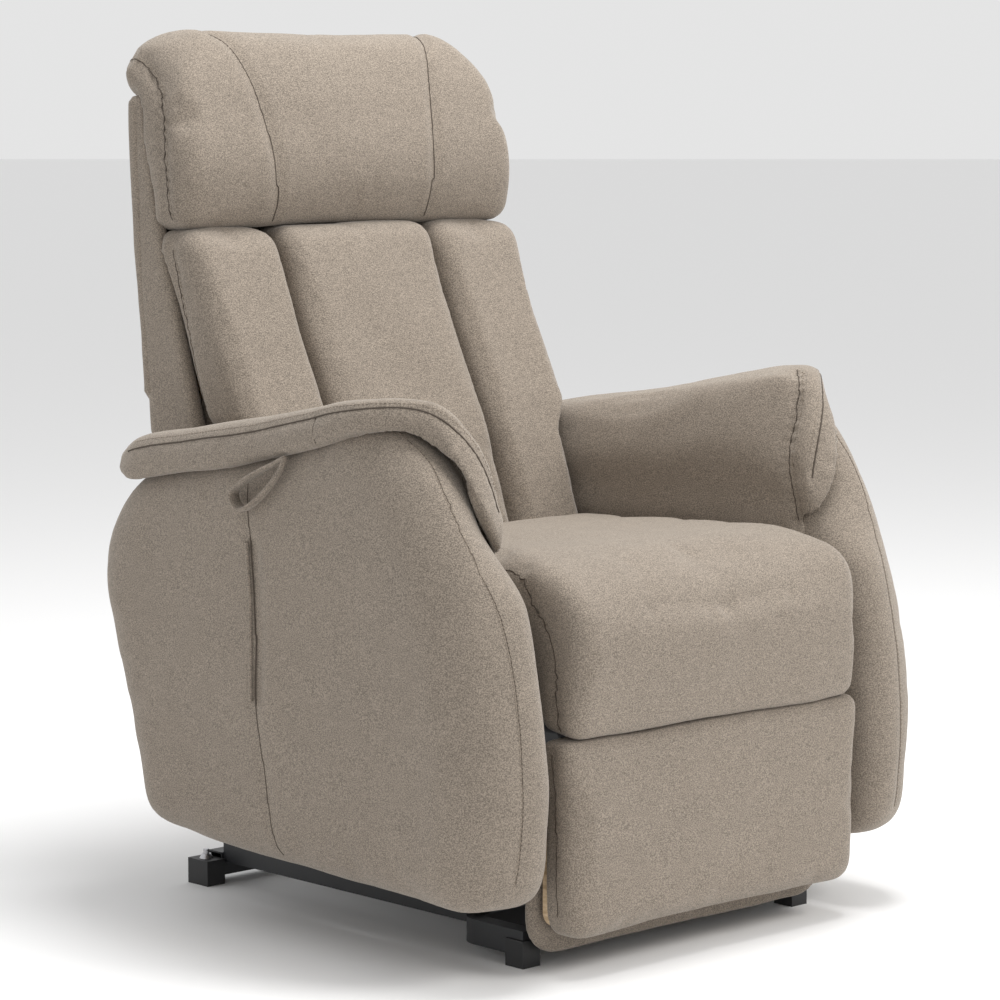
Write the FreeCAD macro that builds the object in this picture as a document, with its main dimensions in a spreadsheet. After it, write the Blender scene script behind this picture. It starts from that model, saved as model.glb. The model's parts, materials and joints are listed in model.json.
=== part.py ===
import FreeCAD, Part
import math
import os
import re

"""Powered lift recliner chair with a floor base, a lift linkage, a reclining back and a fold-out footrest.

Frame: millimetres, +Z up, the sitter faces -Y, the sitter's left hand is on the +X side.
The floor is z = 0 and the chair is centred on the Z axis.
"""

os.makedirs("parts", exist_ok=True)
doc = FreeCAD.newDocument("lift_recliner_chair")
sheet = doc.addObject("Spreadsheet::Sheet", "Dims")

# Driving dimensions. Each one is a cell of the sheet, and the words below are the cells' aliases.
DIMS = {
    # upholstery, half widths from the middle of the chair
    "seat_half_width": 257,
    "back_low_half_width": 257,
    "back_high_half_width": 287,
    "headrest_half_width": 294,
    "arm_inner": 262,
    "arm_outer": 394,
    "arm_skin": 22,
    "arm_pad_overhang": 3,
    # wood and steel sections
    "plywood": 18,
    "batten": 22,
    "link_steel": 5,
    "plate_gap": 2,
    "link_width": 26,
    "pin_radius": 5,
    "pin_clearance": 0.05,
    # floor base
    "base_tube_width": 22,
    "base_tube_height": 30,
    "base_tube_bottom": 14,
    "base_outer": 245,
    "base_bend_radius": 34,
    "base_front": -313,
    "base_cross_rear": -195,
    "rail_outer": 212,
    "rail_width": 25,
    "rail_height": 30,
    "rail_bottom": 28,
    "rear_bar_front": 284,
    "rear_bar_depth": 26,
    "rear_bar_bottom": 10,
    "foot_height": 33,
    # side layers of the linkage, inner faces
    "layer_rear_link": 199,
    "layer_base": 206,
    "layer_lift_link": 213,
    "layer_chair": 222,
    "layer_lower_link": 229,
    "layer_upper_link": 236,
    "layer_footrest": 243,
    # seat box
    "crossbar_bottom": 262,
    "crossbar_size": 22,
    "batten_bottom": 287,
    "batten_height": 52,
    "spring_wire": 3.4,
    # footrest
    "footrest_half_width": 257,
    "footrest_bottom": 43,
    "footrest_top": 268,
    # drives
    "motor_tube_radius": 17,
    "motor_rod_radius": 9,
    "drive_pin_radius": 5,
}
for row, (alias, value) in enumerate(DIMS.items(), start=1):
    sheet.set("A%d" % row, alias)
    sheet.set("B%d" % row, str(value))
    sheet.setAlias("B%d" % row, alias)
doc.recompute()

# Pivot points in the side view, (y, z), with the chair standing at rest.
LIFT_FRONT_BASE = (-139.3, 82.5)
LIFT_FRONT_CHAIR = (138.3, 121.4)
LIFT_REAR_BASE = (-39.9, 92.6)
LIFT_REAR_CHAIR = (260.0, 95.8)
FOOT_CHAIR = (-195.0, 262.0)
FOOT_ELBOW = (-205.0, 66.0)
FOOT_PANEL = (-323.0, 205.0)
BACK_HINGE = (120.0, 330.0)
BACK_PLATE_TOP = (242.0, 508.0)
LIFT_DRIVE_BASE = (297.0, 66.0)
LIFT_DRIVE_CRANK = (-112.0, 130.0)
RECLINE_DRIVE_SEAT = (-148.0, 222.0)
RECLINE_DRIVE_BACK = (160.0, 220.0)
TORQUE_TUBE = (LIFT_FRONT_BASE[0] - 17.4, LIFT_FRONT_BASE[1] + 20.7)
LIFT_DRIVE_X = -45.0
RECLINE_DRIVE_X = 70.0

PIN_HOLE = DIMS["pin_radius"] + DIMS["pin_clearance"]


def expression(text):
    """Turn words such as rail_outer into references to the sheet's cells."""
    return re.sub(r"[a-z_]+", lambda word: "Dims." + word.group(0), str(text))


def bind(thing, prop, text):
    thing.setExpression(prop, expression(text))


def place(thing, x=0, y=0, z=0):
    bind(thing, "Placement.Base.x", x)
    bind(thing, "Placement.Base.y", y)
    bind(thing, "Placement.Base.z", z)
    return thing


def origin_plane(body, role):
    return [plane for plane in body.Origin.OriginFeatures if plane.Role == role][0]


def rounded_outline(points):
    """Lines and tangent arcs through corner points (u, v, corner radius)."""
    corners = []
    count = len(points)
    for index, (u, v, radius) in enumerate(points):
        here = FreeCAD.Vector(u, v, 0)
        before = FreeCAD.Vector(points[index - 1][0], points[index - 1][1], 0)
        after = FreeCAD.Vector(points[(index + 1) % count][0], points[(index + 1) % count][1], 0)
        to_before = (before - here).normalize()
        to_after = (after - here).normalize()
        if radius == 0:
            corners.append((here, None, here))
            continue
        half_angle = to_before.getAngle(to_after) / 2
        setback = radius / math.tan(half_angle)
        bisector = (to_before + to_after).normalize()
        middle = here + bisector * (radius / math.sin(half_angle) - radius)
        corners.append((here + to_before * setback, middle, here + to_after * setback))
    geometry = []
    for index, (start, middle, end) in enumerate(corners):
        if middle is not None:
            geometry.append(Part.Arc(start, middle, end))
        next_start = corners[(index + 1) % count][0]
        if (next_start - end).Length > 0.01:
            geometry.append(Part.LineSegment(end, next_start))
    return geometry


def profile(label, points, thickness, x=0, holes=(), role="YZ_Plane", edge_fillet=0):
    """A sketched outline padded to a thickness; holes are (u, v, radius)."""
    body = doc.addObject("PartDesign::Body", label)
    sketch = body.newObject("Sketcher::SketchObject", label + "_sketch")
    sketch.AttachmentSupport = (origin_plane(body, role), [""])
    sketch.MapMode = "FlatFace"
    for element in rounded_outline(points):
        sketch.addGeometry(element)
    for u, v, radius in holes:
        sketch.addGeometry(Part.Circle(FreeCAD.Vector(u, v, 0), FreeCAD.Vector(0, 0, 1), radius))
    pad = body.newObject("PartDesign::Pad", label + "_pad")
    pad.Profile = sketch
    bind(pad, "Length", thickness)
    if edge_fillet:
        doc.recompute()
        across = 0 if role == "YZ_Plane" else 1
        names = []
        for number, edge in enumerate(pad.Shape.Edges, start=1):
            positions = [vertex.Point[across] for vertex in edge.Vertexes]
            if max(positions) - min(positions) < 0.001:
                names.append("Edge%d" % number)
        fillet = body.newObject("PartDesign::Fillet", label + "_fillet")
        fillet.Base = (pad, names)
        fillet.Radius = edge_fillet
    return place(body, x)


def box(label, x_size, y_size, z_size, x, y, z):
    block = doc.addObject("Part::Box", label)
    bind(block, "Length", x_size)
    bind(block, "Width", y_size)
    bind(block, "Height", z_size)
    return place(block, x, y, z)


def cross_tube(label, point, radius, x_start, x_length, wall=0):
    """A round bar or tube lying along X through a side view point."""
    outer = doc.addObject("Part::Cylinder", label + "_outer" if wall else label)
    parts = [outer]
    if wall:
        parts.append(doc.addObject("Part::Cylinder", label + "_bore"))
    for index, cylinder in enumerate(parts):
        cylinder.Placement.Rotation = FreeCAD.Rotation(FreeCAD.Vector(0, 1, 0), 90)
        cylinder.Radius = radius - wall * index
        bind(cylinder, "Height", x_length)
        place(cylinder, x_start, point[0], point[1])
    if not wall:
        return outer
    cut = doc.addObject("Part::Cut", label)
    cut.Base, cut.Tool = parts
    return cut


def mirrored(label, source):
    mirror = doc.addObject("Part::Mirroring", label)
    mirror.Source = source
    mirror.Normal = FreeCAD.Vector(1, 0, 0)
    return mirror


def group(label, members):
    compound = doc.addObject("Part::Compound", label)
    compound.Links = members
    return compound


def both_sides(label, source):
    """The piece and its mirror image as two solids of one node."""
    return group(label, [source, mirrored(label + "_mirror", source)])


def join(label, members):
    fused = doc.addObject("Part::MultiFuse", label)
    fused.Shapes = members
    return fused


def subtract(label, base, tool):
    cut = doc.addObject("Part::Cut", label)
    cut.Base = base
    cut.Tool = tool
    return cut


def bar_outline(start, end, width):
    """Corner points of a flat bar with round ends, from pivot to pivot."""
    half = width / 2
    length = math.dist(start, end)
    along = ((end[0] - start[0]) / length, (end[1] - start[1]) / length)
    side = (-along[1], along[0])
    points = []
    for centre, reach, turn in ((start, -half, 1), (start, -half, -1), (end, half, -1), (end, half, 1)):
        u = centre[0] + along[0] * reach + side[0] * half * turn
        v = centre[1] + along[1] * reach + side[1] * half * turn
        points.append((u, v, half - 0.01))
    return points


def link_pair(label, start, end, layer, holes_at, width=None):
    """A flat steel link on each side of the chair."""
    width = width or DIMS["link_width"]
    holes = [(u, v, PIN_HOLE) for u, v in holes_at]
    return both_sides(label, profile(label + "_left", bar_outline(start, end, width), "link_steel", layer, holes))


def pin_pair(label, point, layer_start, layer_end):
    """Shouldered pivot pins on both sides, with a washer shoulder between the two plates."""
    length = "%s + link_steel - %s + 2" % (layer_end, layer_start)
    shank = cross_tube(label + "_shank", point, DIMS["pin_radius"], layer_start + " - 1", length)
    washer = cross_tube(label + "_washer", point, 9, layer_end + " - plate_gap + 0.3", "plate_gap - 0.6")
    return both_sides(label, join(label + "_left", [shank, washer]))


# ---------------------------------------------------------------- floor base

def base_front_tube():
    outer = DIMS["base_outer"]
    width = DIMS["base_tube_width"]
    inner = outer - width
    front = DIMS["base_front"]
    rear = DIMS["base_cross_rear"]
    bend = DIMS["base_bend_radius"]
    outline = [
        (-outer, front, 0),
        (-inner, front, 0),
        (-inner, rear - width, bend - width),
        (inner, rear - width, bend - width),
        (inner, front, 0),
        (outer, front, 0),
        (outer, rear, bend),
        (-outer, rear, bend),
    ]
    body = profile("base_front_tube", outline, "base_tube_height", role="XY_Plane")
    return place(body, 0, 0, "base_tube_bottom")


def base_rail(label, side):
    x = "rail_outer - rail_width" if side > 0 else "0 - rail_outer"
    length = "rear_bar_front - base_cross_rear"
    shell = box(label + "_outside", "rail_width", length, "rail_height", x, "base_cross_rear", "rail_bottom")
    bore = box(label + "_bore", "rail_width - 4", length, "rail_height - 4", x + " + 2", "base_cross_rear",
               "rail_bottom + 2")
    return subtract(label, shell, bore)


def base_rear_bar():
    width = "2 * base_outer - 60"
    start = "30 - base_outer"
    shell = box("rear_bar_outside", width, "rear_bar_depth", "base_tube_height", start, "rear_bar_front",
                "rear_bar_bottom")
    bore = box("rear_bar_bore", width, "rear_bar_depth - 4", "base_tube_height - 4", start, "rear_bar_front + 2",
               "rear_bar_bottom + 2")
    return subtract("base_rear_bar", shell, bore)


def front_feet():
    """Moulded caps that hold the ends of the front tube off the floor."""
    block = box("front_foot_block", "base_tube_width + 6", 30, "foot_height", "base_outer - base_tube_width - 3",
                "base_front - 3", 0)
    pocket = box("front_foot_pocket", "base_tube_width + 0.4", 60, "foot_height", "base_outer - base_tube_width - 0.2",
                 "base_front - 0.2", "base_tube_bottom - 0.2")
    return both_sides("front_feet", subtract("front_foot", block, pocket))


def rear_feet():
    """Square plastic feet bolted to the ends of the rear bar."""
    block = box("rear_foot_block", 29, 40, "foot_height", "base_outer - 29.5", "rear_bar_front - 7", 0)
    hole = doc.addObject("Part::Cylinder", "rear_foot_hole")
    hole.Radius = 4.1
    hole.Height = 60
    place(hole, "base_outer - 15", "rear_bar_front + 13", 5)
    return both_sides("rear_feet", subtract("rear_foot", block, hole))


def rear_foot_bolts():
    shank = doc.addObject("Part::Cylinder", "foot_bolt_shank")
    shank.Radius = 4
    shank.Height = 40
    place(shank, "base_outer - 15", "rear_bar_front + 13", 5.2)
    collar = doc.addObject("Part::Cone", "foot_bolt_cone")
    collar.Radius1 = 9
    collar.Radius2 = 6
    collar.Height = 6
    place(collar, "base_outer - 15", "rear_bar_front + 13", "foot_height + 0.2")
    return both_sides("rear_foot_bolts", join("foot_bolt", [shank, collar]))


def lift_brackets(label, pivot):
    """Upright ears on top of the side rails that carry a lift pivot, steep in front to clear the torque tube."""
    rail_top = DIMS["rail_bottom"] + DIMS["rail_height"]
    u, v = pivot
    outline = [(u - 12, rail_top, 0), (u + 38, rail_top, 0), (u + 12, v + 13, 11), (u - 12, v + 13, 11)]
    return both_sides(label, profile(label + "_left", outline, "link_steel", "layer_base", [(u, v, PIN_HOLE)]))


def clevis_plates(label, pivot, foot_v, x_middle, foot_half=24):
    """Two ears with a foot edge at height foot_v, one each side of a motor eye."""
    u, v = pivot
    tip = 13 if v > foot_v else -13
    outline = [(u - foot_half, foot_v, 0), (u + foot_half, foot_v, 0), (u + 13, v + tip, 11), (u - 13, v + tip, 11)]
    ears = []
    for number, offset in enumerate((-14.0, 10.0)):
        name = "%s_ear%d" % (label, number + 1)
        ears.append(profile(name, outline, 4, x_middle + offset, [(u, v, DIMS["drive_pin_radius"] + 0.05)]))
    pin = cross_tube(label + "_pin", pivot, DIMS["drive_pin_radius"], x_middle - 16, 32)
    return group(label, ears + [pin])


# ---------------------------------------------------------------- lift linkage

def lift_front_links():
    """Front lift links, each with a short arm to the torque tube that ties the two sides together."""
    pivots = [(LIFT_FRONT_BASE[0], LIFT_FRONT_BASE[1], PIN_HOLE), (LIFT_FRONT_CHAIR[0], LIFT_FRONT_CHAIR[1], PIN_HOLE)]
    width = DIMS["link_width"]
    long_arm = profile("lift_link_long", bar_outline(LIFT_FRONT_BASE, LIFT_FRONT_CHAIR, width), "link_steel",
                       "layer_lift_link", pivots)
    short_arm = profile("lift_link_short", bar_outline(LIFT_FRONT_BASE, TORQUE_TUBE, width), "link_steel",
                        "layer_lift_link", pivots[:1])
    return both_sides("lift_front_links", join("lift_link_left", [long_arm, short_arm]))


def lift_torque_tube():
    return cross_tube("lift_torque_tube", TORQUE_TUBE, 10, "0 - layer_lift_link", "2 * layer_lift_link", wall=2)


def lift_crank():
    """Two crank plates that stand out from the torque tube to the lift motor's rod."""
    holes = [(TORQUE_TUBE[0], TORQUE_TUBE[1], 10), (LIFT_DRIVE_CRANK[0], LIFT_DRIVE_CRANK[1], 5.05)]
    members = []
    for number, offset in enumerate((-14.0, 10.0)):
        name = "lift_crank_plate%d" % (number + 1)
        outline = bar_outline(TORQUE_TUBE, LIFT_DRIVE_CRANK, 30)
        members.append(profile(name, outline, 4, LIFT_DRIVE_X + offset, holes))
    members.append(cross_tube("lift_crank_pin", LIFT_DRIVE_CRANK, 5, LIFT_DRIVE_X - 16, 32))
    return group("lift_crank", members)


def lift_slot_pins():
    """Pins at the rear links' upper ends, which ride in the wide holes of the seat side plates."""
    shank = cross_tube("slot_pin_shank", LIFT_REAR_CHAIR, DIMS["pin_radius"], "layer_rear_link - 1",
                       "layer_chair + link_steel - layer_rear_link + 3")
    collar = cross_tube("slot_pin_collar", LIFT_REAR_CHAIR, 8, "layer_rear_link + link_steel + 0.3", 16)
    return both_sides("lift_slot_pins", join("slot_pin", [shank, collar]))


# ---------------------------------------------------------------- seat chassis

def seat_side_plates():
    """Steel side plates that carry the lift, footrest and back pivots."""
    outline = [
        (-222, 285, 6),
        (-222, 240, 14),
        (-90, 205, 40),
        (LIFT_FRONT_CHAIR[0] - 60, 110, 40),
        (LIFT_FRONT_CHAIR[0], LIFT_FRONT_CHAIR[1] - 30, 14),
        (LIFT_REAR_CHAIR[0] + 16, LIFT_REAR_CHAIR[1] - 22, 10),
        (LIFT_REAR_CHAIR[0] + 16, LIFT_REAR_CHAIR[1] + 30, 14),
        (200, 230, 40),
        (150, 352, 20),
        (96, 352, 20),
        (96, 285, 8),
    ]
    slot = DIMS["pin_radius"] + 7.0
    holes = [
        (FOOT_CHAIR[0], FOOT_CHAIR[1], PIN_HOLE),
        (LIFT_FRONT_CHAIR[0], LIFT_FRONT_CHAIR[1], PIN_HOLE),
        (LIFT_REAR_CHAIR[0], LIFT_REAR_CHAIR[1], slot),
        (BACK_HINGE[0], BACK_HINGE[1], PIN_HOLE),
    ]
    plate = profile("seat_side_plate", outline, "link_steel", "layer_chair", holes)
    return both_sides("seat_side_plates", plate)


def seat_crossbars():
    return group("seat_crossbars", [seat_crossbar("seat_crossbar_front", -160), seat_crossbar("seat_crossbar_rear", 20)])


def seat_crossbar(label, y):
    width = "2 * layer_chair"
    shell = box(label + "_outside", width, "crossbar_size", "crossbar_size", "0 - layer_chair", y, "crossbar_bottom")
    bore = box(label + "_bore", width, "crossbar_size - 3", "crossbar_size - 3", "0 - layer_chair", y + 1.5,
               "crossbar_bottom + 1.5")
    return subtract(label, shell, bore)


def seat_frame_sides():
    rail = box("seat_frame_side", 26, 336, "batten_height", "layer_lower_link - 1", -246, "batten_bottom")
    return both_sides("seat_frame_sides", rail)


def seat_frame_rail(label, y):
    return box(label, "2 * layer_lower_link - 4", "batten", "batten_height", "2 - layer_lower_link", y,
               "batten_bottom")


def seat_springs():
    """Zig-zag wire springs from the front rail to the rear rail."""
    wires = []
    top = DIMS["batten_bottom"] + DIMS["batten_height"] + 3
    start = -235
    pitch = 24
    turns = 12
    half = 22
    for number in range(5):
        middle = (number - 2) * 92
        points = [FreeCAD.Vector(middle, start, top)]
        for turn in range(turns):
            side = half if turn % 2 else -half
            points.append(FreeCAD.Vector(middle + side, start + pitch * (turn + 0.25), top))
            points.append(FreeCAD.Vector(middle + side, start + pitch * (turn + 0.75), top))
        points.append(FreeCAD.Vector(middle, start + pitch * turns, top))
        path = Part.makePolygon(points)
        direction = points[1] - points[0]
        circle = Part.Wire(Part.makeCircle(DIMS["spring_wire"] / 2, points[0], direction))
        sweep = path.makePipeShell([circle], True, False, 2)
        wires.append(sweep)
    springs = doc.addObject("Part::Feature", "seat_springs")
    springs.Shape = Part.makeCompound(wires)
    return springs


def seat_cushion():
    """Seat block with the apron that runs down the front to the footrest."""
    outline = [
        (76, 474, 26),
        (-330, 494, 60),
        (-415, 462, 52),
        (-414, 284, 14),
        (-336, 284, 8),
        (-336, 350, 6),
        (90, 350, 10),
    ]
    return profile("seat_cushion", outline, "2 * seat_half_width", "0 - seat_half_width", edge_fillet=6)


def arm_outline(inset=0):
    """Side view of an upholstered arm, below its pad."""
    return [
        (227 - inset, 121 - inset, 12),
        (321 - inset, 446, 40),
        (262, 527 - inset, 30),
        (-235, 636 - inset, 60),
        (-330 + inset, 560, 60),
        (-366 + inset, 420, 60),
        (-362 + inset, 92 - inset, 34),
        (-40, 92 - inset, 60),
    ]


def arm_body(label, side):
    """Hollow upholstered arm, open underneath where the wooden frame stands."""
    width = "arm_outer - arm_inner"
    x = "arm_inner" if side > 0 else "0 - arm_outer"
    outer = profile(label + "_outside", arm_outline(), width, x, edge_fillet=9)
    cavity_x = x + " + arm_skin"
    cavity = profile(label + "_cavity", arm_outline(26), width + " - 2 * arm_skin", cavity_x)
    return subtract(label, outer, cavity)


def arm_frame(label, side):
    """Plywood side frame inside the arm, with a window cut through it."""
    x = "arm_inner + arm_skin + 3" if side > 0 else "0 - arm_inner - arm_skin - 3 - plywood"
    outline = [
        (190, 112, 4),
        (282, 440, 20),
        (240, 480, 20),
        (-225, 590, 30),
        (-300, 540, 30),
        (-330, 400, 20),
        (-330, 112, 4),
    ]
    return profile(label, outline, "plywood", x, [(-190, 300, 48), (40, 290, 48)])


def arm_pad(label, side):
    """Padded arm top that rolls down over the front of the arm."""
    outline = [
        (286, 524, 14),
        (286, 556, 22),
        (-232, 683, 50),
        (-338, 640, 62),
        (-371, 500, 10),
        (-356, 488, 5),
        (-327, 578, 50),
        (-235, 640, 58),
    ]
    width = "arm_outer - arm_inner + arm_pad_overhang + 2"
    x = "arm_inner - 2" if side > 0 else "0 - arm_outer - arm_pad_overhang"
    return profile(label, outline, width, x, edge_fillet=0)


def arm_brackets():
    blocks = []
    for y in (-230, 40):
        blocks.append(box("arm_bracket_block_%d" % len(blocks), 6, 44, 46, "layer_lower_link + 26", y, 290))
    right = [mirrored("arm_bracket_mirror_%d" % index, block) for index, block in enumerate(blocks)]
    return group("arm_brackets", blocks + right)


def pull_loop():
    """Folded fabric strap sewn to the outside of the sitter's right arm, open in the middle."""
    outline = [(-80, 588, 3), (-58, 598, 3), (20, 550, 9), (2, 526, 9)]
    return profile("pull_loop", outline, 2.4, "0 - arm_outer - 2.6")


def control_box():
    """Power and switching box under the seat, with closed cord glands on its rear face."""
    pieces = [box("control_case", 120, 70, 42, -205, 120, 238)]
    for number, x in enumerate((-178, -130)):
        gland = doc.addObject("Part::Cylinder", "control_gland_%d" % (number + 1))
        gland.Radius = 8
        gland.Height = 12
        gland.Placement.Rotation = FreeCAD.Rotation(FreeCAD.Vector(1, 0, 0), -90)
        pieces.append(place(gland, x, 189, 258))
    return join("control_box", pieces)


# ---------------------------------------------------------------- back

def front_silhouette(label, low_half, high_half, low_edge, step, top_edge, depth):
    """A block whose front view is narrow between the arms and wider above them."""
    outline = [
        (-low_half, low_edge, 0),
        (low_half, low_edge, 0),
        (low_half, step - 14, 12),
        (high_half, step + 14, 12),
        (high_half, top_edge, 0),
        (-high_half, top_edge, 0),
        (-high_half, step + 14, 12),
        (-low_half, step - 14, 12),
    ]
    body = profile(label, outline, depth, role="XZ_Plane")
    return place(body, 0, 600, 0)


def common(label, first, second):
    result = doc.addObject("Part::Common", label)
    result.Base = first
    result.Tool = second
    return result


def back_cushion():
    outline = [(84, 428, 18), (258, 842, 14), (334, 842, 6), (170, 428, 6)]
    side = profile("back_cushion_side", outline, "2 * back_high_half_width", "0 - back_high_half_width")
    front = front_silhouette("back_cushion_front", DIMS["back_low_half_width"], DIMS["back_high_half_width"], 400, 622,
                             900, 800)
    return common("back_cushion", side, front)


def back_shell():
    """Outer back: a curved rear panel with side walls above the arms."""
    panel = [
        (318, 322, 3),
        (342, 588, 200),
        (367, 819, 200),
        (374, 1002, 6),
        (352, 1002, 4),
        (346, 819, 200),
        (321, 588, 200),
        (297, 322, 3),
    ]
    side = profile("back_shell_side", panel, "2 * back_high_half_width", "0 - back_high_half_width")
    front = front_silhouette("back_shell_front", DIMS["back_low_half_width"], DIMS["back_high_half_width"], 300, 622,
                             1010, 800)
    wall = [(250, 616, 4), (340, 846, 4), (352, 1002, 4), (366, 1002, 4), (360, 819, 200), (334, 616, 4)]
    left = profile("back_shell_wall", wall, 22, "back_high_half_width - 22")
    right = mirrored("back_shell_wall_mirror", left)
    return join("back_shell", [common("back_shell_panel", side, front), left, right])


def headrest_cushion():
    """Pillow headrest that rolls back over the top of the shell."""
    outline = [
        (258, 848, 14),
        (262, 930, 80),
        (296, 1035, 60),
        (335, 1100, 34),
        (415, 1092, 34),
        (415, 1008, 20),
        (348, 1008, 6),
        (338, 848, 4),
    ]
    return profile("headrest_cushion", outline, "2 * headrest_half_width", "0 - headrest_half_width", edge_fillet=5)


def back_uprights():
    outline = [(176, 432, 4), (214, 432, 4), (333, 740, 30), (341, 830, 2), (337, 836, 2)]
    post = profile("back_upright", outline, "batten", "layer_chair - 1")
    return both_sides("back_uprights", post)


def back_cross_rails():
    rails = []
    for number, (y, z) in enumerate(((226, 524), (272, 640), (319, 760))):
        rails.append(box("back_cross_rail_%d" % (number + 1), "2 * layer_chair - 4", 17, 40, "2 - layer_chair", y, z))
    return group("back_cross_rails", rails)


def back_hinge_plates():
    return link_pair("back_hinge_plates", BACK_HINGE, BACK_PLATE_TOP, "layer_base + 9", [BACK_HINGE], 26)


def back_hinge_pins():
    shank = cross_tube("back_pin_shank", BACK_HINGE, DIMS["pin_radius"], 213, 16)
    washer = cross_tube("back_pin_washer", BACK_HINGE, 9, 220.4, 1.2)
    return both_sides("back_hinge_pins", join("back_pin", [shank, washer]))


def recline_arm():
    """Clevis arm that hangs from the back's lower rail to the recline motor."""
    u, v = RECLINE_DRIVE_BACK
    outline = [(u - 14, v - 14, 12), (u + 14, v - 14, 12), (250, 523, 3), (226, 523, 3)]
    members = []
    for number, offset in enumerate((-14.0, 10.0)):
        name = "recline_arm_plate%d" % (number + 1)
        members.append(profile(name, outline, 4, RECLINE_DRIVE_X + offset, [(u, v, 5.05)]))
    members.append(cross_tube("recline_arm_pin", RECLINE_DRIVE_BACK, 5, RECLINE_DRIVE_X - 16, 32))
    return group("recline_arm", members)


# ---------------------------------------------------------------- footrest

def footrest_cross_tube():
    share = 0.32
    u = FOOT_CHAIR[0] + (FOOT_ELBOW[0] - FOOT_CHAIR[0]) * share
    v = FOOT_CHAIR[1] + (FOOT_ELBOW[1] - FOOT_CHAIR[1]) * share
    return cross_tube("footrest_cross_tube", (u, v), 9, "0 - layer_lower_link", "2 * layer_lower_link", wall=2)


def kick_board():
    """Covered board that closes the gap behind the footrest and hides the linkage."""
    half = DIMS["footrest_half_width"] - 2
    outline = [(-half, 18, 26), (half, 18, 26), (half, 132, 6), (-half, 132, 6)]
    body = profile("kick_board", outline, 14, role="XZ_Plane", edge_fillet=4)
    return place(body, 0, -322, 0)


def kick_board_brackets():
    outline = [(-322, 100, 0), (-322, 124, 0), (-262, 150, 6), (-240, 112, 6)]
    return both_sides("kick_board_brackets", profile("kick_bracket", outline, 3, "layer_upper_link - 3"))


def footrest_board():
    half = DIMS["footrest_half_width"] - 12
    outline = [(-half, 54, 20), (half, 54, 20), (half, 258, 8), (-half, 258, 8)]
    body = profile("footrest_board", outline, 14, role="XZ_Plane")
    return place(body, 0, -346, 0)


def footrest_pad():
    half = DIMS["footrest_half_width"]
    low = DIMS["footrest_bottom"]
    high = DIMS["footrest_top"]
    outline = [(-half, low, 34), (half, low, 34), (half, high, 10), (-half, high, 10)]
    body = profile("footrest_pad", outline, 42, role="XZ_Plane", edge_fillet=9)
    return place(body, 0, -361, 0)


def footrest_brackets():
    u, v = FOOT_PANEL
    outline = [(-345, 142, 0), (-345, 250, 0), (-338, 250, 4), (u + 13, v + 6, 9), (u + 13, v - 12, 9), (-338, 142, 4)]
    bracket = profile("footrest_bracket", outline, "link_steel", "layer_footrest", [(u, v, PIN_HOLE)])
    return both_sides("footrest_brackets", bracket)


# ---------------------------------------------------------------- motors

def along_frame(start, end):
    """Placement whose Z axis runs from start to end in the side view."""
    direction = FreeCAD.Vector(0, end[0] - start[0], end[1] - start[1])
    return FreeCAD.Rotation(FreeCAD.Vector(0, 0, 1), direction)


def motor_piece(label, start, end, x, radius, first, last, bore=0):
    """A round piece on the line between two pivots, between distances first and last."""
    length = math.dist(start, end)
    turn = along_frame(start, end)
    pieces = []
    for index, (size, low, high) in enumerate(((radius, first, last), (bore, first + 6, last + 10))):
        if size == 0:
            continue
        cylinder = doc.addObject("Part::Cylinder", "%s_%d" % (label, index))
        cylinder.Radius = size
        cylinder.Height = high - low
        y = start[0] + (end[0] - start[0]) * low / length
        z = start[1] + (end[1] - start[1]) * low / length
        cylinder.Placement = FreeCAD.Placement(FreeCAD.Vector(x, y, z), turn)
        pieces.append(cylinder)
    if len(pieces) == 1:
        return pieces[0]
    return subtract(label + "_tube", pieces[0], pieces[1])


def eye(label, point, x, slack=0.05, width=16):
    """Ring round a pivot, and the hole to drill in it with some slack round the pin."""
    hole_radius = DIMS["drive_pin_radius"] + slack
    ring = cross_tube(label + "_ring", point, hole_radius + 7, x - width / 2, width)
    hole = cross_tube(label + "_hole", point, hole_radius, x - width, 2 * width)
    return ring, hole


def drive(name, start, end, x, body_length, rod_start, slack):
    """Motor body on the start pivot, and a rod from inside its tube to a slack eye round the end pivot."""
    length = math.dist(start, end)
    radius = DIMS["motor_tube_radius"]
    tube = motor_piece(name + "_motor_tube", start, end, x, radius, 40, body_length, DIMS["motor_rod_radius"] + 0.1)
    neck = motor_piece(name + "_motor_neck", start, end, x, 7, 6, 46)
    gear = motor_piece(name + "_motor_gear", start, end, x, 26, 24, 78)
    bore = motor_piece(name + "_motor_bore", start, end, x, DIMS["motor_rod_radius"] + 0.1, 56, 90)
    can = doc.addObject("Part::Cylinder", name + "_motor_can")
    can.Radius = 22
    can.Height = 96
    middle = 0.5 * (24 + 78) / length
    can.Placement = FreeCAD.Placement(
        FreeCAD.Vector(x + 20, start[0] + (end[0] - start[0]) * middle, start[1] + (end[1] - start[1]) * middle),
        FreeCAD.Rotation(FreeCAD.Vector(0, 1, 0), 90),
    )
    ring, hole = eye(name + "_motor_eye", start, x)
    solid = join(name + "_motor_solid", [tube, neck, gear, can, ring])
    drilled = subtract(name + "_motor_drilled", solid, hole)
    subtract(name + "_motor", drilled, bore)
    rod = motor_piece(name + "_rod_bar", start, end, x, DIMS["motor_rod_radius"], rod_start, length - 8)
    ring, hole = eye(name + "_rod_eye", end, x, slack)
    subtract(name + "_rod", join(name + "_rod_solid", [rod, ring]), hole)


# ---------------------------------------------------------------- build and export

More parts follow.
